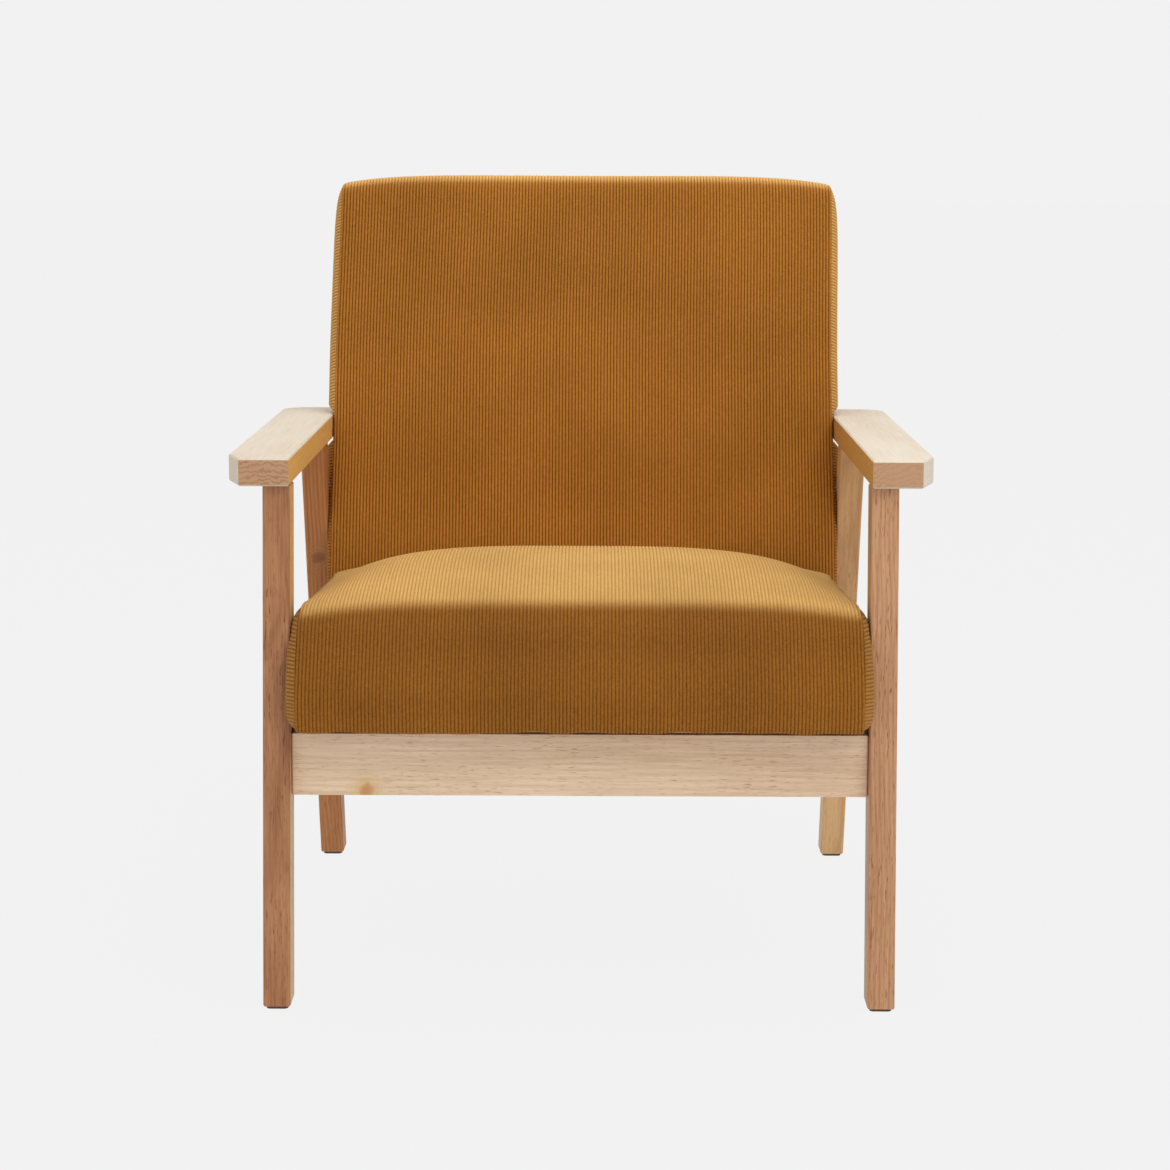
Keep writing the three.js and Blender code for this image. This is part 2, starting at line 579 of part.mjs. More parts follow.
function seatPad() {
  const hemBottom = SEAT_BOTTOM;
  const hemTop = hemBottom + HEM;
  const foamBottom = SEAT_FRAME_TOP + FIT + WEBBING + FIT;
  webbing('seat_webbing', {
    u0: -SEAT_FRAME_HALF + 8,
    u1: SEAT_FRAME_HALF - 8,
    v0: SEAT_FRAME_FRONT + 8,
    v1: SEAT_FRAME_REAR - 8,
    strip: (xa, xb, ya, yb) => block(xa, xb, ya, yb, SEAT_FRAME_TOP + FIT, SEAT_FRAME_TOP + FIT + WEBBING),
  }, 5, 3, STRAP_WIDTH, chair);
  const foamHalf = SEAT_FRAME_HALF;
  add('seat_foam', profile(seatProfile(COVER + FIT, foamBottom), -foamHalf, foamHalf), FOAM);
  const outer = profile(seatProfile(0, hemBottom), -SEAT_HALF_WIDTH, SEAT_HALF_WIDTH);
  const inside = profile(seatProfile(COVER, hemTop), -SEAT_HALF_WIDTH + COVER, SEAT_HALF_WIDTH - COVER);
  const underside = block(-SEAT_OPENING_X, SEAT_OPENING_X, SEAT_OPENING_Y[0], SEAT_OPENING_Y[1],
    hemBottom - 1, hemTop + 1);
  add('seat_cover', cut(outer, [inside, underside, ...seatScrewTools()]), CORDUROY);
  const lining = block(-DUST_X, DUST_X, ...DUST_Y, hemBottom - FIT - DUST, hemBottom - FIT);
  add('dust_cover', lining, LINING);
}

// ---------------------------------------------------------------- back pad
// Its own frame: x across, y from the front of the pad to its rear, z up the slope.
function backPad() {
  const pad = new THREE.Group();
  pad.position.set(0, BACK_FOOT_Y, BACK_FOOT_Z);
  pad.rotation.x = -radians(BACK_RECLINE);
  chair.add(pad);

  const stileRear = STILE_OFFSET + STILE_THICKNESS;
  const low = COVER + FIT;
  const high = BACK_LENGTH - COVER - FIT;
  const stileInner = STILE_OUTER - STILE_WIDTH;
  const layer = [STILE_OFFSET, stileRear];
  for (const [letter, side] of SIDES) {
    const stile = block(side * stileInner, side * STILE_OUTER, ...layer, low, high);
    const holes = backBolts.flatMap(({ s }) => [
      barX(INSERT_R + FIT, side * (STILE_OUTER - INSERT_LENGTH - FIT), side * (STILE_OUTER + 1),
        STILE_MIDDLE, s),
      barX(BOLT_R + FIT, side * (BACK_BOLT_TIP - 1), side * STILE_OUTER, STILE_MIDDLE, s),
    ]);
    add(`back_stile_${letter}`, cut(stile, holes), INNER_WOOD, pad);
  }
  const crossHalf = stileInner - FIT;
  add('back_frame_bottom', block(-crossHalf, crossHalf, ...layer, low, low + 45), INNER_WOOD, pad);
  add('back_frame_top', block(-crossHalf, crossHalf, ...layer, high - 45, high), INNER_WOOD, pad);

  const strapFront = STILE_OFFSET - FIT - WEBBING;
  webbing('back_webbing', {
    u0: -STILE_OUTER + 6,
    u1: STILE_OUTER - 6,
    v0: low + 6,
    v1: high - 6,
    strip: (xa, xb, za, zb) => block(xa, xb, strapFront, strapFront + WEBBING, za, zb),
  }, 3, 5, STRAP_WIDTH, pad);

  const foamHalf = STILE_OUTER;
  const frontLayer = roundedProfile(COVER + FIT, strapFront - FIT, low, high, FRONT_FOAM_RADIUS);
  add('back_foam_front', profile(frontLayer, -foamHalf, foamHalf), FOAM, pad);
  const foamRear = BACK_THICKNESS - COVER - FIT;
  const rearLayer = roundedProfile(stileRear + FIT, foamRear, low, high, REAR_FOAM_RADIUS);
  add('back_foam_rear', profile(rearLayer, -foamHalf, foamHalf), FOAM, pad);

  const outer = profile(
    roundedProfile(0, BACK_THICKNESS, 0, BACK_LENGTH, BACK_EDGE_RADIUS), -BACK_HALF_WIDTH, BACK_HALF_WIDTH);
  const innerHalf = BACK_HALF_WIDTH - COVER;
  const inside = profile(
    roundedProfile(COVER, BACK_THICKNESS - COVER, COVER, BACK_LENGTH - COVER, 3), -innerHalf, innerHalf);
  const zip = block(-ZIP_HALF, ZIP_HALF, STILE_MIDDLE - 2, STILE_MIDDLE + 2, -1, COVER + 1);
  const boltHoles = SIDES.flatMap(([, side]) => backBolts.map(({ s }) => barX(
    BOLT_R + 1, side * (innerHalf - 1), side * (BACK_HALF_WIDTH + 1), STILE_MIDDLE, s)));
  add('back_cover', cut(outer, [inside, zip, ...boltHoles]), CORDUROY, pad);
}

// ---------------------------------------------------------------- assembly
crossRail('front');
crossRail('rear');
for (const [letter, side] of SIDES) {
  leg(side, 'front');
  leg(side, 'rear');
  glide(side, 'front');
  glide(side, 'rear');
  armrest(side);
  sideRail(side);
  cleat(side);
  cleatAndSeatScrews(side, letter);
  railFasteners(side, letter);
  backFasteners(side, letter);
}
seatFrame();
seatPad();
backPad();

// The origin is on the floor, under the middle of the chair's overall box.
chair.updateMatrixWorld(true);
const overall = new THREE.Box3().setFromObject(chair, true);
chair.position.y = -(overall.min.y + overall.max.y) / 2;
chair.updateMatrixWorld(true);

export default chair;
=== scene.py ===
"""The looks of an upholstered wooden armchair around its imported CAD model.

Metres, +Z up, the sitter faces -Y."""
import math
from collections import namedtuple

import bpy
import numpy as np
from mathutils import Matrix, Vector


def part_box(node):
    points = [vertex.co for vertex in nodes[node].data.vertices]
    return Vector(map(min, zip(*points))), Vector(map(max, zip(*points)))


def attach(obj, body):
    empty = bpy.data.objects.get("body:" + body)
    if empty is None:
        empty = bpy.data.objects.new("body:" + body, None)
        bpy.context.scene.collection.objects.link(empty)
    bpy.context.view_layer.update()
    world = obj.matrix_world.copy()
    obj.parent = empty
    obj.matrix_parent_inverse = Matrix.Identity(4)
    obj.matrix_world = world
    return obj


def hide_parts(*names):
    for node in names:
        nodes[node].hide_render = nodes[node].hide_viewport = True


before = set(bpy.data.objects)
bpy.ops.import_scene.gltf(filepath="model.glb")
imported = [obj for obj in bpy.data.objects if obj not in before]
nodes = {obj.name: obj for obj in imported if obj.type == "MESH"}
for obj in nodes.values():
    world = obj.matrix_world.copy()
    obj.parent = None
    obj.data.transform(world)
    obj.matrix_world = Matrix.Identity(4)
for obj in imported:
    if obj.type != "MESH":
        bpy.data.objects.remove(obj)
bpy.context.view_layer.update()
scene = bpy.context.scene
rng = np.random.default_rng(11)

# ---------------------------------------------------------------- camera, floor and light
BACKDROP = 0.886                            # radiance of the plain background
SKY_LOW, SKY_MIDDLE, SKY_HIGH = 0.26, 0.42, 0.9     # heights on the world sphere where its levels sit
SKY_MIDDLE_GREY = 0.60
FLOOR_HALF = 40
FLOOR_SHADE = 0.020                         # diffuse reflectance of the floor
FLOOR_GLOW = BACKDROP - 0.0225
CAMERA_PLACE = (0.0134, -2.7603, 0.7805)
CAMERA_TURN = (0.213, 8.961, 0.204)         # degrees: to the left, downwards, rolled
CAMERA_LENS, CAMERA_SENSOR = 85, 36         # millimetres


def add_camera():
    yaw, pitch, roll = (math.radians(angle) for angle in CAMERA_TURN)
    forward = Vector((-math.sin(yaw) * math.cos(pitch), math.cos(yaw) * math.cos(pitch),
                      -math.sin(pitch)))
    side = Vector((math.cos(yaw), math.sin(yaw), 0))
    up = side.cross(forward)
    right = side * math.cos(roll) + up * math.sin(roll)
    top = up * math.cos(roll) - side * math.sin(roll)
    data = bpy.data.cameras.new("camera")
    data.lens, data.sensor_width = CAMERA_LENS, CAMERA_SENSOR
    camera = bpy.data.objects.new("camera", data)
    scene.collection.objects.link(camera)
    camera.matrix_world = Matrix.Translation(CAMERA_PLACE) @ Matrix(
        (right, top, -forward)).transposed().to_4x4()
    scene.camera = camera


def add_area(name, place, target, size, power):
    """A round white area light that points at the target."""
    data = bpy.data.lights.new(name, "AREA")
    data.shape, data.size, data.energy = "DISK", size, power
    light = bpy.data.objects.new(name, data)
    scene.collection.objects.link(light)
    light.location = place
    light.rotation_euler = (Vector(target) - Vector(place)).to_track_quat("-Z", "Y").to_euler()


def add_world():
    """Even studio light: the backdrop's grey below and round the horizon, a darker band above it,
    and white overhead."""
    world = bpy.data.worlds.new("studio")
    scene.world = world
    world.use_nodes = True
    tree = world.node_tree
    coordinate = tree.nodes.new("ShaderNodeTexCoord")
    height = tree.nodes.new("ShaderNodeSeparateXYZ")
    ramp = tree.nodes.new("ShaderNodeValToRGB")
    tree.links.new(coordinate.outputs["Generated"], height.inputs[0])
    tree.links.new(height.outputs["Z"], ramp.inputs["Fac"])
    tree.links.new(ramp.outputs["Color"], tree.nodes["Background"].inputs["Color"])
    low, high = ramp.color_ramp.elements
    low.position, low.color = SKY_LOW, (BACKDROP, BACKDROP, BACKDROP, 1)
    high.position, high.color = SKY_HIGH, (1.0, 0.995, 0.98, 1)
    middle = ramp.color_ramp.elements.new(SKY_MIDDLE)
    middle.color = (SKY_MIDDLE_GREY, SKY_MIDDLE_GREY, SKY_MIDDLE_GREY, 1)


class Graph:
    """A material and its node tree. Every method that adds a node gives back an output socket."""

    def __init__(self, name, inputs):
        self.material = bpy.data.materials.new(name)
        self.material.use_nodes = True
        self.tree = self.material.node_tree
        self.shader = self.tree.nodes["Principled BSDF"]
        for key, value in inputs.items():
            self.shader.inputs[key].default_value = value

    def put(self, socket, value):
        if isinstance(value, bpy.types.NodeSocket):
            self.tree.links.new(value, socket)
        elif value is not None:
            socket.default_value = value

    def add(self, kind, inputs=None, output=0, **settings):
        node = self.tree.nodes.new("ShaderNode" + kind)
        for key, value in settings.items():
            setattr(node, key, value)
        for key, value in (inputs or {}).items():
            self.put(node.inputs[key], value)
        return node.outputs[output]

    def math(self, operation, a, b=None, c=None):
        return self.add("Math", {0: a, 1: b, 2: c}, operation=operation)

    def place(self):
        return self.add("TexCoord", output="Object")

    def dot(self, vector, axis):
        return self.add("VectorMath", {0: vector, 1: tuple(axis)}, output="Value",
                        operation="DOT_PRODUCT")

    def combine(self, x, y, z):
        return self.add("CombineXYZ", {"X": x, "Y": y, "Z": z})

    def noise(self, vector, scale, detail=3.0, rough=0.55):
        return self.add("TexNoise", {"Vector": vector, "Scale": scale, "Detail": detail,
                                     "Roughness": rough}, output="Fac")

    def centred(self, noise, reach):
        """Noise moved to swing evenly about zero, its whole range as wide as reach."""
        return self.math("MULTIPLY", self.math("SUBTRACT", noise, 0.5), reach)

    def wave(self, value, pitch):
        return self.math("SINE", self.math("MULTIPLY", value, 2 * math.pi / pitch))

    def span(self, value, low, high, to_low=0.0, to_high=1.0, smooth=False):
        """Maps low..high to to_low..to_high, clamped."""
        kind = "SMOOTHSTEP" if smooth else "LINEAR"
        return self.add("MapRange", {"Value": value, "From Min": low, "From Max": high,
                                     "To Min": to_low, "To Max": to_high}, interpolation_type=kind)

    def mix(self, factor, a, b, blend="MIX"):
        node = self.tree.nodes.new("ShaderNodeMix")
        node.data_type, node.blend_type = "RGBA", blend
        self.put(node.inputs["Factor"], factor)
        self.put(node.inputs[6], a if isinstance(a, bpy.types.NodeSocket) else (*a, 1))
        self.put(node.inputs[7], b if isinstance(b, bpy.types.NodeSocket) else (*b, 1))
        return node.outputs[2]

    def bump(self, height, strength, distance):
        self.put(self.shader.inputs["Normal"],
                 self.add("Bump", {"Strength": strength, "Distance": distance, "Height": height}))

    def colour(self, value, roughness=None):
        self.put(self.shader.inputs["Base Color"], value)
        if roughness is not None:
            self.put(self.shader.inputs["Roughness"], roughness)


def add_floor():
    """A pale floor that glows, so it meets the backdrop without an edge and keeps soft shadows."""
    corners = [(x * FLOOR_HALF, y * FLOOR_HALF, 0) for x, y in ((-1, -1), (1, -1), (1, 1), (-1, 1))]
    mesh = bpy.data.meshes.new("floor")
    mesh.from_pydata(corners, [], [(0, 1, 2, 3)])
    floor = bpy.data.objects.new("floor", mesh)
    scene.collection.objects.link(floor)
    graph = Graph("pale_floor", {"Roughness": 1.0, "Specular IOR Level": 0,
                                 "Base Color": (FLOOR_SHADE, FLOOR_SHADE, FLOOR_SHADE, 1),
                                 "Emission Color": (1, 1, 1, 1), "Emission Strength": FLOOR_GLOW})
    mesh.materials.append(graph.material)


# ---------------------------------------------------------------- wood
FRONT_LEAN, REAR_LEAN = math.radians(6.2), math.radians(19.2)    # the legs' lean
SWAY = 0.024                        # how far the heart line wanders
RIPPLE = 0.0030                     # waviness of the rings along a board
END_WARP = 0.016                    # and on its end
RING_SHARPNESS = 2.2
DARK_KNOT = (0.50, 0.22, 0.07), (0.36, 0.14, 0.045), (0.24, 0.09, 0.03)
YELLOW_KNOT = (0.72, 0.50, 0.22), (0.66, 0.43, 0.18), (0.55, 0.24, 0.07)


def tinted(colour, factors):
    return tuple(value * factor for value, factor in zip(colour, factors))


def make_wood(name, light, dark, grain=(1, 0, 0), heart=(0.03, -0.05), pitch=0.0042, shift=0.0,
              fleck=0.5, ring=0.30, streaks=0.58, flank=None, knots=(), knot_tones=DARK_KNOT):
    """Clear-lacquered board: growth rings round a heart line beside the board, streaks, pores, knots
    and darker end grain. The painted side reflection is the light tone of the faces to the left and right:
    a painted reflection of the cushion with painted shade.
    Each knot is x, y, z and size, and knot_tones are its light, dark and core."""
    g = Graph(name, {"Roughness": 0.5, "Specular IOR Level": 0.35})
    grain = Vector(grain).normalized()
    helper = Vector((0, 0, 1)) if abs(grain.z) < 0.8 else Vector((1, 0, 0))
    side = grain.cross(helper).normalized()
    other = grain.cross(side).normalized()
    point = g.place()
    along = g.math("ADD", g.dot(point, grain), shift)
    a, b = g.dot(point, side), g.dot(point, other)

    def stretched(factor):
        """Board coordinates, drawn out along the grain."""
        return g.combine(g.math("MULTIPLY", along, factor), a, b)

    sway = g.centred(g.noise(g.combine(along, a, b), 4.0, 2.0), SWAY)
    da = g.math("ADD", g.math("SUBTRACT", a, heart[0]), sway)
    db = g.math("ADD", g.math("SUBTRACT", b, heart[1]), g.math("MULTIPLY", sway, 0.7))
    radius = g.math("SQRT", g.math("ADD", g.math("MULTIPLY", da, da), g.math("MULTIPLY", db, db)))
    fine = stretched(0.035)
    rings = g.wave(g.math("ADD", radius, g.centred(g.noise(fine, 60.0, 3.0), RIPPLE)), pitch)
    rings = g.math("POWER", g.span(rings, -1.0, 1.0), RING_SHARPNESS)
    streak = g.noise(fine, 420.0, 4.0, 0.65)
    broad = g.noise(stretched(0.22), 16.0, 2.0)
    pores = g.span(g.noise(stretched(0.07), 1250.0, 1.0), 0.60, 0.72)
    patch = g.span(g.noise(stretched(0.4), 28.0, 2.0), 0.40, 0.60, 0.40, 1.0)
    pores = g.math("MULTIPLY", pores, patch)
    shade = g.math("ADD", g.math("MULTIPLY", rings, ring), g.span(streak, 0.3, 0.75, 0.0, streaks))
    shade = g.math("ADD", shade, g.span(broad, 0.3, 0.7, -0.16, 0.26))
    colour = g.mix(shade, light, dark)
    normal = g.add("NewGeometry", output="True Normal")
    # Painted reflection of the cushion and painted shade: faces to the left and right take their own tone.
    if flank:
        sideways = g.span(g.math("ABSOLUTE", g.dot(normal, (1, 0, 0))), 0.970, 0.985)
        colour = g.mix(sideways, colour, g.mix(shade, flank, tinted(flank, (0.62, 0.62, 0.62))))
    colour = g.mix(g.math("MULTIPLY", pores, fleck), colour, tinted(dark, (0.62, 0.42, 0.32)))
    for x, y, z, size in knots:
        knot_light, knot_dark, knot_core = knot_tones
        away = g.add("VectorMath", {0: point, 1: (x, y, z)}, output="Value", operation="DISTANCE")
        away = g.math("ADD", away, g.centred(g.noise(point, 90.0, 3.0), 1.7 * size))
        whorl = g.span(g.wave(away, 0.6 * size), -1.0, 1.0)
        halo = g.span(away, size * 3.0, size * 0.8, 0.0, 0.60, smooth=True)
        core = g.span(away, size * 1.3, size * 0.3, 0.0, 0.8, smooth=True)
        colour = g.mix(halo, colour, g.mix(whorl, knot_light, knot_dark))
        colour = g.mix(core, colour, knot_core)
    facing = g.math("ABSOLUTE", g.dot(normal, grain))
    ends = g.span(facing, 0.75, 0.97, 0.0, 0.9, smooth=True)
    end_light = tinted(dark, (0.92, 0.66, 0.50))
    warp = g.centred(g.noise(point, 95.0, 4.0, 0.65), END_WARP)
    end_wave = g.span(g.wave(g.math("ADD", radius, warp), 1.7 * pitch), -1.0, 1.0)
    end_wave = g.math("MULTIPLY", g.math("POWER", end_wave, RING_SHARPNESS),
                      g.span(broad, 0.3, 0.7, 0.2, 0.75))
    colour = g.mix(ends, colour, g.mix(end_wave, end_light, tinted(end_light, (0.46, 0.35, 0.28))))
    g.colour(colour, g.span(streak, 0.2, 0.8, 0.40, 0.58))
    g.bump(g.math("SUBTRACT", streak, g.math("MULTIPLY", pores, 0.6)), 0.25, 0.0004)
    return g.material


def paint(node, material):
    """Gives a CAD piece one material all over."""
    data = nodes[node].data
    if not data.materials:
        data.materials.append(material)
    for index in range(len(data.materials)):
        data.materials[index] = material


def finish_frame():
    front_grain = (0, math.sin(FRONT_LEAN), math.cos(FRONT_LEAN))
    rear_grain = (0, -math.sin(REAR_LEAN), math.cos(REAR_LEAN))
    cream, tan = (0.64, 0.57, 0.46), (0.52, 0.38, 0.24)
    # The side-face tones below, amber, honey and the others, are painted reflections of the cushion with
    # painted shade.
    amber, honey = (0.74, 0.42, 0.12), (0.68, 0.42, 0.18)
    side_rail = dict(light=(0.66, 0.47, 0.29), dark=(0.42, 0.25, 0.13), grain=(0, 1, 0))
    armrest = dict(light=cream, dark=tan, grain=(0, 1, 0), pitch=0.0028, fleck=0.12, ring=0.10,
                   streaks=0.34)
    boards = {
        "armrest_L": dict(armrest, heart=(-0.285, -0.425), shift=1.0, flank=amber),
        "armrest_R": dict(armrest, heart=(0.31, -0.415), shift=3.0, flank=(0.55, 0.28, 0.07)),
        "front_leg_L": dict(light=(0.47, 0.22, 0.098), dark=(0.26, 0.095, 0.035), grain=front_grain,
                            heart=(0.25, 0.33), shift=5.0, fleck=1.0, streaks=0.70, flank=honey),
        "front_leg_R": dict(light=(0.58, 0.32, 0.165), dark=(0.36, 0.155, 0.066), grain=front_grain,
                            heart=(-0.30, 0.36), shift=7.0, fleck=1.0, streaks=0.66,
                            flank=(0.52, 0.29, 0.13)),
        "rear_leg_L": dict(light=(0.55, 0.222, 0.070), dark=(0.26, 0.098, 0.026), grain=rear_grain,
                           heart=(0.24, -0.20), shift=2.0, knots=[(-0.279, 0.1255, 0.354, 0.0072)]),
        "rear_leg_R": dict(light=(0.68, 0.42, 0.195), dark=(0.42, 0.21, 0.08), grain=rear_grain,
                           heart=(-0.31, -0.20), shift=9.0),
        "front_rail": dict(light=(0.84, 0.64, 0.45), dark=(0.56, 0.35, 0.20), heart=(0.32, 0.10),
                           pitch=0.0065, shift=4.0, fleck=0.75, ring=0.12,
                           knots=[(-0.1962, -0.285, 0.1992, 0.0070)], knot_tones=YELLOW_KNOT),
        "rear_rail": dict(light=(0.68, 0.50, 0.32), dark=(0.42, 0.26, 0.14), heart=(-0.1, 0.15),
                          pitch=0.006, shift=6.0),
        "side_rail_L": dict(side_rail, heart=(0.2, 0.15), shift=8.0),
        "side_rail_R": dict(side_rail, heart=(-0.2, 0.15), shift=10.0),
    }
    for node, board in boards.items():
        paint(node, make_wood("wood_" + node, **board))
    reclined = (0, 0.342, 0.94)
    pine = {(1, 0, 0): [], (0, 1, 0): [], reclined: []}
    for node in nodes:
        if node.startswith(("seat_cleat", "seat_frame_L", "seat_frame_R")):
            pine[(0, 1, 0)].append(node)
        elif node.startswith(("seat_frame", "back_frame")) or "dowel" in node:
            pine[(1, 0, 0)].append(node)
        elif node.startswith("back_stile"):
            pine[reclined].append(node)
    for index, (grain, names) in enumerate(pine.items()):
        material = make_wood(f"softwood_{index}", (0.72, 0.56, 0.34), (0.46, 0.29, 0.13), grain,
                             heart=(0.04, 0.09), pitch=0.005)
        for node in names:
            paint(node, material)


# ---------------------------------------------------------------- metal, plastic, webbing, lining
def make_steel():
    g = Graph("zinc_plated_steel", {"Metallic": 1.0})
    point = g.place()
    mottle = g.noise(point, 700.0, 4.0)
    turned = g.noise(point, 2600.0, 2.0)
    g.colour(g.mix(mottle, (0.60, 0.60, 0.62), (0.42, 0.42, 0.45)), g.span(turned, 0.3, 0.7, 0.28, 0.48))
    g.bump(turned, 0.2, 0.0001)
    return g.material


def make_plastic():
    g = Graph("dark_moulded_plastic", {})
    grit = g.noise(g.place(), 1800.0, 3.0)
    scuff = g.noise(g.place(), 120.0, 4.0)
    g.colour(g.mix(scuff, (0.035, 0.026, 0.020), (0.075, 0.058, 0.045)),
             g.span(scuff, 0.3, 0.7, 0.45, 0.7))
    g.bump(grit, 0.3, 0.0002)
    return g.material


def make_webbing():
    """Plain woven elastic tape."""
    g = Graph("elastic_webbing", {"Roughness": 0.85})
    pitch = 0.0030
    light, dark = (0.10, 0.09, 0.085), (0.022, 0.020, 0.018)
    x, y, z = (g.dot(g.place(), axis) for axis in ((1, 0, 0), (0, 1, 0), (0, 0, 1)))
    weft, warp = g.wave(x, pitch), g.wave(g.math("ADD", y, z), pitch)
    cell = g.span(g.math("MULTIPLY", weft, warp), -1.0, 1.0)
    fuzz = g.noise(g.place(), 1500.0, 2.0)
    g.colour(g.mix(g.math("MULTIPLY", cell, g.span(fuzz, 0.2, 0.8, 0.6, 1.1)), dark, light))
    g.bump(cell, 0.5, 0.0004)
    return g.material


def make_foam():
    g = Graph("foam", {"Roughness": 0.95})
    cell = g.noise(g.place(), 900.0, 2.0)
    g.colour(g.mix(cell, (0.80, 0.74, 0.60), (0.92, 0.88, 0.76)))
    g.bump(cell, 0.6, 0.0008)
    return g.material


def make_lining():
    """Non-woven lining: a matt felt of pressed fibres with a grid of bonded dots."""
    g = Graph("black_lining", {"Roughness": 0.92, "Sheen Weight": 0.15})
    point = g.place()
    dot_pitch = 0.0022
    across_fibres = g.math("MULTIPLY", g.dot(point, (-0.6, 0.8, 0)), 0.25)
    fibre = g.noise(g.combine(g.dot(point, (0.8, 0.6, 0)), across_fibres, 0.0), 1300.0, 3.0)
    dots = g.math("MULTIPLY", g.wave(g.dot(point, (1, 0, 0)), dot_pitch),
                  g.wave(g.dot(point, (0, 1, 0)), dot_pitch))
    dots = g.span(dots, 0.35, 0.7)
    paleness = g.math("ADD", g.math("MULTIPLY", dots, 0.35), g.span(fibre, 0.3, 0.8, 0.0, 0.7))
    g.colour(g.mix(paleness, (0.016, 0.015, 0.015), (0.065, 0.062, 0.060)))
    g.bump(g.math("SUBTRACT", fibre, dots), 0.5, 0.0003)
    return g.material


def finish_hidden():
    finishes = [(("bolt", "barrel", "screw", "insert"), make_steel()), (("glide",), make_plastic()),
                (("webbing",), make_webbing()), (("foam",), make_foam())]
    for node in nodes:
        for words, material in finishes:
            if any(word in node for word in words):
                paint(node, material)
                break


# ---------------------------------------------------------------- corduroy pads
WALE = 0.00336                      # corduroy rib to rib
WALE_RISE = 0.0009
RIB = np.array([0.0, 0.78, 1.0, 0.78])      # one rib's height at four columns across it
SEAM_INSET = 0.0026                 # the panels' rounded edges sink this far to the seam
SEAM_ROUND = 0.008                  # width of the rounded edge
SEAM_GAP = 0.0008                   # the gusset starts this far inside the sunk edge
CLOTH_FRAMES = 20
CLOTH_PRESSURE, CLOTH_STIFFNESS, CLOTH_BENDING = 4.0, 18, 2
CLOTH_CAP = 0.010                   # the cloth's largest move
CLOTH_SIDEWAYS = 0.25               # how much of it counts from left to right
PUCKER_DEPTH, PUCKER_REACH = 0.0009, 0.012
RECLINE = math.radians(20)
BACK_FOOT = np.array([0.0772, 0.310])       # lower front edge of the back pad, depth and height
SLOPE = np.array([math.sin(RECLINE), math.cos(RECLINE)])
BEHIND = np.array([math.cos(RECLINE), -math.sin(RECLINE)])

# How a pad's fabric looks. The level scales its colour, partly the fabric's tone and partly painted light:
# the back is painted lighter than the seat. The light by height is (low, high, low tone, high tone):
# painted light that lifts the lower part, where shade falls. The sheen is a painted highlight: how light
# the pile gets where it faces up, as the normal's rise goes through its span. The gussets get the same
# painted highlight, from the heights in lit_from.
Tone = namedtuple("Tone", "level contrast fade nap nap_span gusset_nap lit_from")


def make_corduroy(name, tone):
    g = Graph(name, {"Roughness": 0.95, "Specular IOR Level": 0.1, "Sheen Weight": 0.32,
                     "Sheen Roughness": 0.35, "Sheen Tint": (1.0, 0.70, 0.32, 1)})
    point = g.place()
    wale = g.add("Attribute", output="Fac", attribute_name="wale")
    nap = g.add("Attribute", output="Fac", attribute_name="nap")
    speck = g.noise(point, 850.0, 2.0, 0.6)
    tuft = g.noise(point, 260.0, 3.0, 0.6)
    cloud = g.noise(point, 9.0, 3.0, 0.5)
    # Painted highlight: the pile is painted lighter where it faces up and on lit gussets, broken up by the
    # tufts.
    turning = g.math("MULTIPLY", nap, g.math("SUBTRACT", 1.0, nap))
    nap = g.math("ADD", nap, g.centred(tuft, g.math("MULTIPLY", turning, 3.0)))
    ridge = g.mix(nap, (0.350, 0.138, 0.021), (0.79, 0.48, 0.165))
    valley = g.mix(nap, (0.125, 0.036, 0.002), (0.45, 0.226, 0.049))
    shadow = g.mix(nap, (0.145, 0.044, 0.003), (0.40, 0.20, 0.05))
    # The rib valleys take the darker colour: partly the thinner pile there, partly painted shade in the
    # grooves.
    lift = g.span(wale, 0.0, 1.0, 0.6 - 0.6 * tone.contrast, 0.6 + 0.4 * tone.contrast)
    lift = g.math("ADD", lift, g.span(speck, 0.3, 0.7, -0.30, 0.30))
    colour = g.mix(lift, valley, ridge)
    colour = g.mix(g.span(tuft, 0.35, 0.72, 0.0, 0.30), colour, shadow)
    # Painted light: the colour is scaled by the pad's level and lifted low down, where shade falls, with a
    # random mottle.
    mottle_and_painted_light = g.math("MULTIPLY", g.span(cloud, 0.3, 0.7, 0.91 * tone.level, 1.09 * tone.level),
                    g.span(g.dot(point, (0, 0, 1)), *tone.fade))
    g.colour(g.mix(1.0, colour, g.combine(mottle_and_painted_light, mottle_and_painted_light, mottle_and_painted_light), "MULTIPLY"))
    g.bump(g.math("ADD", speck, tuft), 0.35, 0.0006)
    return g.material


def fillet(corners, radii, steps=9):
    """A closed outline with every corner rounded."""
    out = []
    count = len(corners)
    for i, (corner, radius) in enumerate(zip(corners, radii)):
        p = np.array(corner)
        a = np.array(corners[i - 1]) - p
        b = np.array(corners[(i + 1) % count]) - p
        a, b = a / np.linalg.norm(a), b / np.linalg.norm(b)
        half = math.acos(float(np.clip(a @ b, -1, 1))) / 2
        reach = radius / math.tan(half)
        centre = p + (a + b) / np.linalg.norm(a + b) * radius / math.sin(half)
        start, end = p + a * reach - centre, p + b * reach - centre
        turn = math.atan2(start[0] * end[1] - start[1] * end[0], start @ end)
        for k in range(steps + 1):
            angle = turn * k / steps
            c, s = math.cos(angle), math.sin(angle)
            out.append(centre + (c * start[0] - s * start[1], s * start[0] + c * start[1]))
    return np.array(out)


def spline(values, at, wrap=False):
    """Catmull-Rom values at fractional indices along the first axis."""
    count = len(values)
    base = np.floor(at).astype(int)
    t = (at - base).reshape(-1, *([1] * (values.ndim - 1)))
    pick = (lambda k: values[k % count]) if wrap else (lambda k: values[np.clip(k, 0, count - 1)])
    p0, p1, p2, p3 = (pick(base + k) for k in (-1, 0, 1, 2))
    return 0.5 * (2 * p1 + (p2 - p0) * t + (2 * p0 - 5 * p1 + 4 * p2 - p3) * t ** 2
                  + (3 * p1 - p0 - 3 * p2 + p3) * t ** 3)


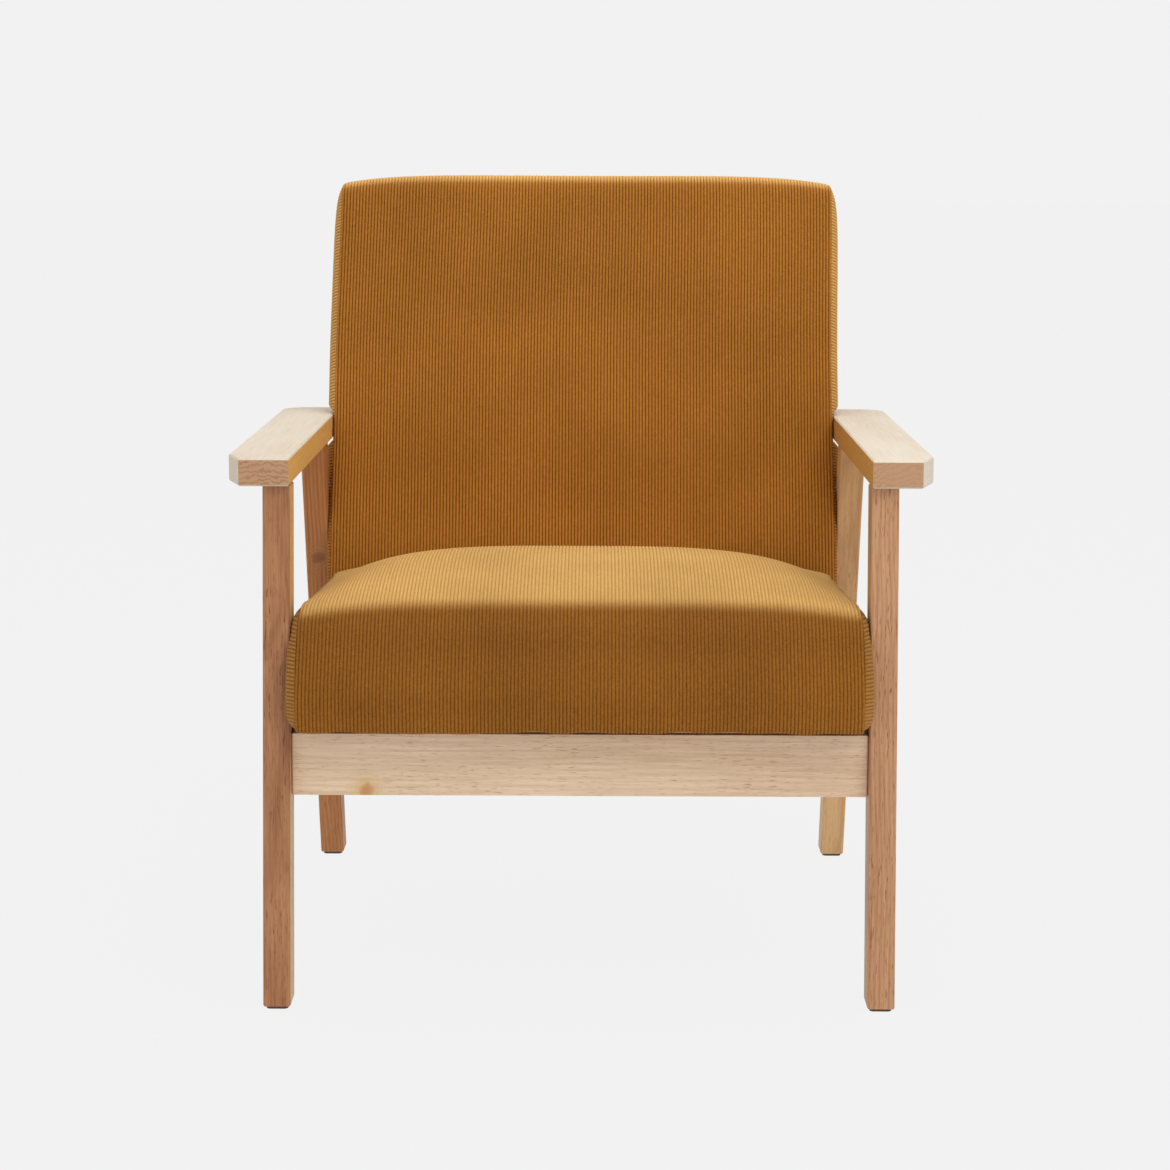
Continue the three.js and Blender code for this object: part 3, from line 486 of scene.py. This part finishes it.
def calm(field, wrap):
    """Evens out a coarse grid of moves, so small folds of the coarse cloth don't show."""
    for _ in range(3):
        if wrap:
            wide = np.concatenate([field[-1:], field, field[:1]])
        else:
            wide = np.concatenate([field[:1], field, field[-1:]])
        field = 0.25 * wide[:-2] + 0.5 * wide[1:-1] + 0.25 * wide[2:]
        wide = np.concatenate([field[:, :1], field, field[:, -1:]], 1)
        field = 0.25 * wide[:, :-2] + 0.5 * wide[:, 1:-1] + 0.25 * wide[:, 2:]
    return field


def ease(value, low, high):
    """Smooth step from 0 at low to 1 at high."""
    t = np.clip((value - low) / (high - low), 0, 1)
    return t * t * (3 - 2 * t)


def fill(distance, reach):
    """How full a bulging panel is at a distance from its edge: 0 at the edge, towards 1 past the reach."""
    return 1 - np.exp(-np.maximum(distance, 0) / reach)


def mesh_of(name, points, faces):
    data = bpy.data.meshes.new(name)
    data.from_pydata(points.tolist(), [], [tuple(face) for block in faces for face in block.tolist()])
    return data


def quads_of(grid):
    return np.stack([grid[:-1, :-1], grid[:-1, 1:], grid[1:, 1:], grid[1:, :-1]], -1).reshape(-1, 4)


def quads_around(grid):
    """The same for a grid whose last row joins its first."""
    nxt = np.roll(grid, -1, 0)
    return np.stack([grid[:, :-1], grid[:, 1:], nxt[:, 1:], nxt[:, :-1]], -1).reshape(-1, 4)


class Pad:
    """A boxed pad. One strip of cloth goes round the outline, with a gusset of cloth at each end.

    The outline is a closed line in the pad's own depth and height. It starts in the middle of the foot
    and runs up the front, over the top and down the rear. The gussets bulge outwards. How soon they are
    full is set by turn, inwards from their front and rear edges, and by corner, down from their top."""

    SAMPLES = 4000                  # steps along the outline
    COARSE_STEP, COARSE_COLUMNS, COARSE_GUSSET = 0.020, 25, 9
    GUSSET_COLUMNS = 31
    FOOT_TURN = 0.004               # the same, up from their lower edge

    def __init__(self, name, outline, half_width, to_world, spacing, tone, bulge, turn, corner):
        self.name, self.half_width, self.to_world, self.spacing = name, half_width, to_world, spacing
        self.tone, self.bulge, self.turn, self.corner = tone, bulge, turn, corner
        line = np.vstack([outline, outline[:1]])
        length = np.concatenate([[0], np.cumsum(np.linalg.norm(np.diff(line, axis=0), axis=1))])
        self.length = length[-1]
        dense = np.linspace(0, self.length, self.SAMPLES + 1)
        self.dense_u = dense
        self.dense = np.stack([np.interp(dense, length, line[:, k]) for k in (0, 1)], 1)
        tangent = np.roll(self.dense[:-1], -8, 0) - np.roll(self.dense[:-1], 8, 0)
        tangent /= np.linalg.norm(tangent, axis=1)[:, None]
        tangent = np.vstack([tangent, tangent[:1]])
        self.normal = np.stack([-tangent[:, 1], tangent[:, 0]], 1)
        middle = self.dense.mean(0)
        if ((self.dense - middle) * self.normal).sum() < 0:
            self.normal = -self.normal

    def at(self, u):
        point = np.stack([np.interp(u, self.dense_u, self.dense[:, k]) for k in (0, 1)], -1)
        normal = np.stack([np.interp(u, self.dense_u, self.normal[:, k]) for k in (0, 1)], -1)
        return point, normal

    def rows(self, fine):
        """Places along the outline: close together where the cloth shows or turns."""
        look_ahead, bent, bend_step = 0.012, 0.05, 0.0045
        out, u = [], 0.0
        while u < self.length - 1e-6:
            out.append(u)
            point, normal = self.at(np.array([u]))
            ahead = self.at(np.array([min(u + look_ahead, self.length)]))[1]
            bend = math.acos(float(np.clip((normal[0] * ahead[0]).sum(), -1, 1)))
            step = self.spacing(point[0], normal[0])
            if bend > bent:
                step = min(step, bend_step)
            u += step if fine else self.COARSE_STEP
        if self.length - out[-1] < 0.4 * (out[-1] - out[-2]):
            out.pop()
        return np.array(out)

    def build(self, fine):
        """Vertices in (x, depth, height), faces, and each grid's kind, indices, rows and columns."""
        u = self.rows(fine)
        ribs = round(2 * self.half_width / WALE)
        columns = ribs * len(RIB) + 1 if fine else self.COARSE_COLUMNS
        v = np.linspace(-1, 1, columns)
        point, normal = self.at(u)
        from_edge = self.half_width * (1 - np.abs(v))
        t = np.clip(1 - from_edge / SEAM_ROUND, 0, 1)
        sink = SEAM_INSET * (1 - np.sqrt(np.maximum(0, 1 - t ** 2 * 0.98)))
        strip = np.empty((len(u), columns, 3))
        strip[..., 0] = (v * self.half_width)[None]
        strip[..., 1:] = point[:, None] - normal[:, None] * sink[None, :, None]
        vertices = [strip.reshape(-1, 3)]
        index = np.arange(strip.shape[0] * columns).reshape(strip.shape[:2])
        faces = [quads_around(index)]
        grids = [("strip", index, u, v)]

        inner = self.dense - self.normal * (SEAM_INSET + SEAM_GAP)
        gusset, heights, p = self.gusset(inner, fine)
        for side in (-1, 1):
            start = sum(len(block) for block in vertices)
            vertices.append((gusset * (side, 1, 1)).reshape(-1, 3))
            grid = start + np.arange(len(heights) * len(p)).reshape(len(heights), len(p))
            quads = quads_of(grid)
            faces.append(quads if side > 0 else quads[:, ::-1])
            grids.append(("gusset", grid, heights, p))
            half = len(p) // 2
            ring = np.concatenate([grid[0, half::-1], grid[1:, 0], grid[-1, 1:], grid[-2::-1, -1],
                                   grid[0, -2:half:-1]])
            flat = np.concatenate(vertices)[ring][:, 1:]
            skip = 5
            nearest = ((flat[:, None] - inner[None, ::skip]) ** 2).sum(-1).argmin(1)
            place = nearest * skip * self.length / self.SAMPLES
            first_half = np.arange(len(place)) < len(place) // 2
            wrapped = place > self.length * 0.9
            place = np.maximum.accumulate(np.where(wrapped & first_half, 0.0, place))
            rim = index[:, 0 if side < 0 else -1]
            faces.append(self.stitch(rim, u, ring, place, side))
        return np.concatenate(vertices), faces, grids

    def gusset(self, inner, fine):
        """The right gusset's points, the heights of its rows, and its columns from front 0 to rear 1."""
        low, high = inner[:, 1].min(), inner[:, 1].max()
        top = int(inner[:, 1].argmax())
        slices = round((high - low) / WALE) * len(RIB) + 1 if fine else self.COARSE_GUSSET
        heights = np.linspace(low + 0.0003, high - 0.0006, slices)
        edges = []
        for edge in (inner[:top], inner[top:][::-1]):
            edge = edge[int(edge[:, 1].argmin()):]
            edges.append(np.interp(heights, np.maximum.accumulate(edge[:, 1]), edge[:, 0])[:, None])
        front, rear = edges
        p = np.linspace(0, 1, self.GUSSET_COLUMNS if fine else self.COARSE_GUSSET)
        p = 0.5 * (p + (1 - np.cos(p * math.pi)) / 2)
        gusset = np.empty((slices, len(p), 3))
        gusset[..., 1] = front + p[None] * (rear - front)
        gusset[..., 2] = heights[:, None]
        bulge = self.bulge * fill(np.minimum(gusset[..., 1] - front, rear - gusset[..., 1]), self.turn)
        bulge *= fill(high - gusset[..., 2], self.corner)
        bulge *= fill(gusset[..., 2] - low, self.FOOT_TURN)
        gusset[..., 0] = self.half_width + 0.0002 + bulge
        return gusset, heights, p

    def stitch(self, ring_a, place_a, ring_b, place_b, side):
        """Triangles between two closed rings, each vertex with its place along the outline."""
        a = np.append(place_a, self.length)
        b = np.append(place_b, self.length)
        i = j = 0
        out = []
        while i < len(ring_a) or j < len(ring_b):
            ia, jb = ring_a[i % len(ring_a)], ring_b[j % len(ring_b)]
            if j >= len(ring_b) or (i < len(ring_a) and a[i + 1] <= b[j + 1]):
                out.append((ia, ring_a[(i + 1) % len(ring_a)], jb))
                i += 1
            else:
                out.append((ia, ring_b[(j + 1) % len(ring_b)], jb))
                j += 1
        out = np.array(out)
        return out if side < 0 else out[:, ::-1]

    def swell(self, pinned):
        """Blows the coarse pad up as cloth. Gives back its grids and every vertex's capped move."""
        vertices, faces, grids = self.build(False)
        before = self.to_world(vertices)
        data = mesh_of(self.name + "_cloth", before, faces)
        data.validate()
        piece = bpy.data.objects.new(self.name + "_cloth", data)
        scene.collection.objects.link(piece)
        group = piece.vertex_groups.new(name="pin")
        group.add(np.nonzero(pinned(vertices))[0].tolist(), 1.0, "REPLACE")
        cloth = piece.modifiers.new("cloth", "CLOTH")
        settings = cloth.settings
        settings.vertex_group_mass = "pin"
        settings.use_pressure, settings.uniform_pressure_force = True, CLOTH_PRESSURE
        settings.effector_weights.gravity = 0
        settings.quality = 6
        settings.tension_stiffness = settings.compression_stiffness = CLOTH_STIFFNESS
        settings.bending_stiffness = CLOTH_BENDING
        cloth.point_cache.frame_start, cloth.point_cache.frame_end = 1, CLOTH_FRAMES
        for step in range(1, CLOTH_FRAMES + 1):
            scene.frame_set(step)
        moved = piece.evaluated_get(bpy.context.evaluated_depsgraph_get()).data
        now = np.empty(len(vertices) * 3)
        moved.vertices.foreach_get("co", now)
        shift = now.reshape(-1, 3) - before
        size = np.linalg.norm(shift, axis=1)
        print("cloth", self.name, "largest move", size.max(), "mean", size.mean())
        shift *= (CLOTH_CAP / np.sqrt(size ** 2 + CLOTH_CAP ** 2))[:, None]
        bpy.data.objects.remove(piece)
        scene.frame_set(1)
        return grids, shift

    def sampled(self, moves, coarse, fine):
        """The coarse cloth's moves at the rows and columns of a fine grid."""
        kind, grid, coarse_rows, coarse_columns = coarse
        _, _, rows, columns = fine
        closed = kind == "strip"
        field = calm(moves[grid], closed)
        if closed:
            coarse_rows = np.append(coarse_rows, self.length)
        at = np.interp(rows, coarse_rows, np.arange(len(coarse_rows)))
        field = spline(field, at, wrap=closed)
        at = np.interp(columns, coarse_columns, np.arange(len(coarse_columns)))
        return spline(field.transpose(1, 0, 2), at).transpose(1, 0, 2)

    def make(self, pinned, share, detail, settle):
        """The finished piece: the fine form with its share of the cloth's moves, the details, then the
        ribs. Settle keeps it clear of the frame."""
        vertices, faces, grids = self.build(True)
        world = self.to_world(vertices)
        coarse_grids, moves = self.swell(pinned)
        for fine, coarse in zip(grids, coarse_grids):
            flat = fine[1].reshape(-1)
            move = self.sampled(moves, coarse, fine).reshape(-1, 3)
            world[flat] += share(world[flat])[:, None] * move * (CLOTH_SIDEWAYS, 1, 1)
        wale, on_gusset = np.zeros(len(vertices)), np.zeros(len(vertices))
        for kind, grid, _, _ in grids:
            across_ribs = 1 if kind == "strip" else 0
            rib = RIB[np.arange(grid.shape[across_ribs]) % len(RIB)]
            wale[grid] = rib if kind == "strip" else rib[:, None]
            on_gusset[grid] = kind == "gusset"
        world = settle(detail(world, vertices, grids))
        data = mesh_of(self.name, world, faces)
        data.update()
        normals = np.empty(len(world) * 3)
        data.vertices.foreach_get("normal", normals)
        normals = normals.reshape(-1, 3)
        world = settle(world + normals * (WALE_RISE * (wale - 1))[:, None])
        data.vertices.foreach_set("co", world.reshape(-1))
        data.update()
        tone = self.tone
        # Painted highlight: the pile is painted lighter where it faces up, and on the gussets above the
        # heights in lit_from.
        side_painted_sheen = tone.gusset_nap * on_gusset * ease(world[:, 2], *tone.lit_from)
        nap = np.maximum(tone.nap * ease(normals[:, 2], *tone.nap_span), side_painted_sheen)
        for key, values in {"wale": wale, "nap": nap}.items():
            layer = data.attributes.new(key, "FLOAT", "POINT")
            layer.data.foreach_set("value", values.astype(np.float32))
        data.shade_smooth()
        piece = bpy.data.objects.new(self.name, data)
        scene.collection.objects.link(piece)
        data.materials.append(make_corduroy("corduroy_" + self.name, tone))
        return piece


def seat_to_world(points):
    """The seat pad's own frame is the world's."""
    return points.copy()


def back_to_world(points):
    """The back pad's own depth and height are measured from its foot, across and along its slope."""
    flat = BACK_FOOT + points[:, 1:2] * BEHIND + points[:, 2:3] * SLOPE
    return np.column_stack([points[:, 0], flat])


def back_depth(world):
    """How far behind the back pad's front plane each point lies."""
    return (world[:, 1:] - BACK_FOOT) @ BEHIND


def puckers(vertices, grids, pad, period):
    """Small gathers beside each seam, for the given vertices: a push inwards in metres."""
    push = np.zeros(len(vertices))
    noise = rng.normal(size=400)
    smooth = np.convolve(noise, [0.25, 0.5, 0.25], "same")
    for kind, grid, rows, columns in grids:
        if kind == "strip":
            wave = np.interp(rows / period, np.arange(len(smooth)), smooth)
            edge = pad.half_width * (1 - np.abs(columns))
            push[grid] = PUCKER_DEPTH * wave[:, None] * np.exp(-edge / PUCKER_REACH)[None, :]
    return push


def make_seat():
    base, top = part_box("seat_cover")[0][2], 0.364
    front, half = -0.3180, 0.2578
    shoulder, brow = (-0.3205, 0.302), (-0.2850, top)
    crown_rise, crown_fall, crown_end = 0.0302, 0.0214, 0.094
    rear_drop = side_drop = 0.010                   # how far the crown falls off to the rear and sides
    bow_depth, bow_reach, front_limit = 0.003, 0.03, -0.3285
    hem_height, hem_wave, hem_drop, hem_lift, hem_sag = 0.012, 0.0006, 0.0003, 0.0014, 0.0015
    half_between_legs, half_behind_legs, legs_end = 0.2641, 0.2664, -0.225
    flare, flare_limit = 0.0032, 0.0034             # how far the sides widen in front of the legs
    gap_to_back, cloth_share = 0.0012, 0.4

    def rear(height):
        return BACK_FOOT[0] - 0.002 + (height - BACK_FOOT[1]) * math.tan(RECLINE)

    outline = fillet([(front, base), shoulder, brow, (rear(top), top), (rear(base), base)],
                     [0.006, 0.070, 0.040, 0.016, 0.006])
    outline = np.vstack([[(-0.13, base)], outline])

    def spacing(point, normal):
        hidden = normal[1] < -0.9 or normal[0] > 0.7
        return 0.030 if hidden else 0.0062

    tone = Tone(level=0.89, contrast=0.86, fade=(0.265, 0.335, 1.16, 0.91), nap=1.0,
                nap_span=(0.75, 1.0), gusset_nap=0.18, lit_from=(-1.0, 0.0))
    pad = Pad("seat_pad", outline, half, seat_to_world, spacing, tone, bulge=0.0062, turn=0.0035,
              corner=0.003)
    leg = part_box("front_leg_L")

    def ahead_of_leg(y, z):
        """0 beside the legs, 1 in front of their faces."""
        face = leg[0][1] + (z - leg[0][2]) * math.tan(FRONT_LEAN)
        return ease(face - y, 0.0025, 0.012)

    def detail(world, vertices, grids):
        y, z = world[:, 1], world[:, 2]
        x, depth, height = vertices.T
        from_middle = np.abs(x) / half
        dome = 1 - np.clip(from_middle, 0, 1) ** 4.0
        across = np.clip(1 - (x / half) ** 2, 0, 1)
        up = ease(height, 0.325, top)
        along = np.clip((depth - front) / (crown_end - front), 0, 1)
        rise = np.sin(math.pi / 2 * np.clip((along - 0.080) / 0.40, 0, 1)) ** 0.9
        crown = dome * up * (crown_rise * rise - crown_fall * ease(along, 0.55, 1.0))
        crown -= rear_drop * up * ease(along, 0.45, 1.0)
        crown -= side_drop * up * from_middle ** 3 * ease(along, 0.12, 0.55)
        halfway_up = np.sin(math.pi * np.clip((height - base) / (top - base), 0, 1))
        bow = bow_depth * across ** 0.5 * halfway_up ** 0.8
        ahead = np.clip((front + bow_reach - depth) / bow_reach, 0, 1)
        lifted = world.copy()
        lifted[:, 2] += crown
        lifted[:, 1] -= bow * ahead
        push = puckers(vertices, grids, pad, 0.0075)
        lifted[:, 2] -= push * up
        lifted[:, 1] += push * ahead
        hem = np.clip(1 - (height - base) / hem_height, 0, 1) * ahead
        wave = np.sin(x * 61 + 2.1 * np.sin(x * 23)) + np.sin(x * 143 + 1)
        lifted[:, 2] += hem * (hem_wave * wave - hem_drop + hem_lift * ease(x, -0.12, -0.02))
        proud = np.clip((np.abs(x) - half) / pad.bulge, 0, 1)
        lifted[:, 0] += np.sign(x) * flare * proud * ahead_of_leg(y, z)
        return lifted

    def settle(world):
        world[:, 2] = np.maximum(world[:, 2], base - hem_sag * (world[:, 1] < front + 0.004))
        world[:, 1] -= np.clip(back_depth(world) + gap_to_back, 0, None) * BEHIND[0]
        world[:, 1] = np.maximum(world[:, 1], front_limit)
        limit = np.where(world[:, 1] < legs_end, half_between_legs, half_behind_legs)
        limit += flare_limit * ahead_of_leg(world[:, 1], world[:, 2])
        world[:, 0] = np.clip(world[:, 0], -limit, limit)
        return world

    def share(world):
        return cloth_share * ease(world[:, 2], base + 0.026, base + 0.060)

    seat = pad.make(lambda v: v[:, 2] < base + 0.002, share, detail, settle)
    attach(seat, "root")
    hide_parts("seat_cover", "seat_foam")


def make_back():
    length, thick, half = 0.4735, 0.088, 0.2640
    belly_depth, belly_reach, crown_rise, crown_reach = 0.006, 0.03, 0.0110, 0.06
    lean_aside = 0.0025                             # the top sits a little to the right
    arm_height, above_seat, cloth_share = 0.4905, 0.40, 0.6
    half_free, arm_inset, leg_inset = 0.2735, 0.0094, 0.0067    # how wide it may get
    outline = fillet([(0.0, 0.0), (0.0, length), (thick, length), (thick, 0.0)],
                     [0.012, 0.024, 0.024, 0.014])
    outline = np.vstack([[(0.045, 0.0)], outline])

    def spacing(point, normal):
        if normal[1] < -0.9 or (normal[0] < -0.9 and point[1] < 0.065):
            return 0.020
        return 0.0135 if abs(normal[1]) < 0.5 else 0.006

    tone = Tone(level=1.12, contrast=1.52, fade=(0.36, 0.72, 1.08, 0.95), nap=0.70,
                nap_span=(0.70, 0.99), gusset_nap=0.50, lit_from=(0.44, 0.53))
    pad = Pad("back_pad", outline, half, back_to_world, spacing, tone, bulge=0.0084, turn=0.006,
              corner=0.016)

    def detail(world, vertices, grids):
        x, depth, height = vertices.T
        across = np.clip(1 - (x / half) ** 2, 0, 1)
        up = np.clip(height / length, 0, 1)
        ahead = np.clip((belly_reach - depth) / belly_reach, 0, 1)
        halfway_up = np.clip(np.sin(math.pi * up), 0, 1)
        belly = belly_depth * across ** 0.5 * ease(up, 0.16, 0.60) * halfway_up ** 0.5
        dome = 1 - np.clip(np.abs(x) / half, 0, 1) ** 5
        crown = crown_rise * dome * np.clip((height - length + crown_reach) / crown_reach, 0, 1)
        push = puckers(vertices, grids, pad, 0.0085)
        lifted = world.copy()
        lifted[:, 1:] += -BEHIND * (belly * ahead - push * ahead)[:, None] + SLOPE * crown[:, None]
        lifted[:, 0] += lean_aside * ease(up, 0.55, 1.0)
        return lifted

    def settle(world):
        height = world[:, 2]
        depth = back_depth(world)
        world[:, 1] += np.where(height < above_seat, np.clip(-depth, 0, None), 0) / BEHIND[0]
        beside_arm = 1 - ease(np.abs(height - arm_height), 0.0135, 0.025)
        beside_arm *= 1 - ease(world[:, 1], 0.235, 0.255)
        beside_leg = 1 - ease(height, 0.43, 0.46)
        limit = half_free - np.maximum(arm_inset * beside_arm, leg_inset * beside_leg)
        world[:, 0] = np.clip(world[:, 0], -limit, limit)
        return world

    def share(world):
        return cloth_share * ease(world[:, 2], above_seat, 0.50)

    back = pad.make(lambda v: v[:, 2] < 0.004, share, detail, settle)
    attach(back, "root")
    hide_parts("back_cover", "back_foam_front", "back_foam_rear")


# ---------------------------------------------------------------- lining under the seat
def make_dust_cover():
    low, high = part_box("dust_cover")
    thick, sag_depth, sag_reach = 0.0006, 0.0035, 0.05
    tacks_across, tacks_deep, tack_pull, tack_reach = 0.049, 0.0498, 0.0006, 0.02
    columns, rows = 99, 61
    gx, gy = np.meshgrid(np.linspace(low[0], high[0], columns), np.linspace(low[1], high[1], rows))
    edge = np.minimum(np.minimum(gx - low[0], high[0] - gx), np.minimum(gy - low[1], high[1] - gy))
    tacks = 0.5 + 0.5 * np.cos(gx * 2 * math.pi / tacks_across) * np.cos(gy * 2 * math.pi / tacks_deep)
    sag = sag_depth * fill(edge, sag_reach) + tack_pull * (1 - tacks) * np.exp(-edge / tack_reach)
    upper = np.stack([gx, gy, high[2] - 0.0001 - sag], -1).reshape(-1, 3)
    lower = upper - (0, 0, thick)
    index = np.arange(columns * rows).reshape(rows, columns)
    faces = quads_of(index)
    under = faces[:, ::-1] + columns * rows
    ring = np.concatenate([index[0, :-1], index[:-1, -1], index[-1, :0:-1], index[:0:-1, 0]])
    onward = np.roll(ring, -1)
    rim = np.stack([ring, ring + columns * rows, onward + columns * rows, onward], -1)
    data = mesh_of("seat_lining", np.vstack([upper, lower]), [faces, under, rim])
    data.shade_smooth()
    piece = bpy.data.objects.new("seat_lining", data)
    scene.collection.objects.link(piece)
    data.materials.append(make_lining())
    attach(piece, "root")
    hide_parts("dust_cover")


scene.view_settings.view_transform = "Standard"
add_camera()
add_world()
add_floor()
add_area("key", (1.1, -1.5, 2.5), (0, 0, 0.4), 1.8, 25)
add_area("top", (0.0, 0.1, 2.6), (0, 0, 0.4), 2.2, 17)
finish_frame()
finish_hidden()
make_seat()
make_back()
make_dust_cover()
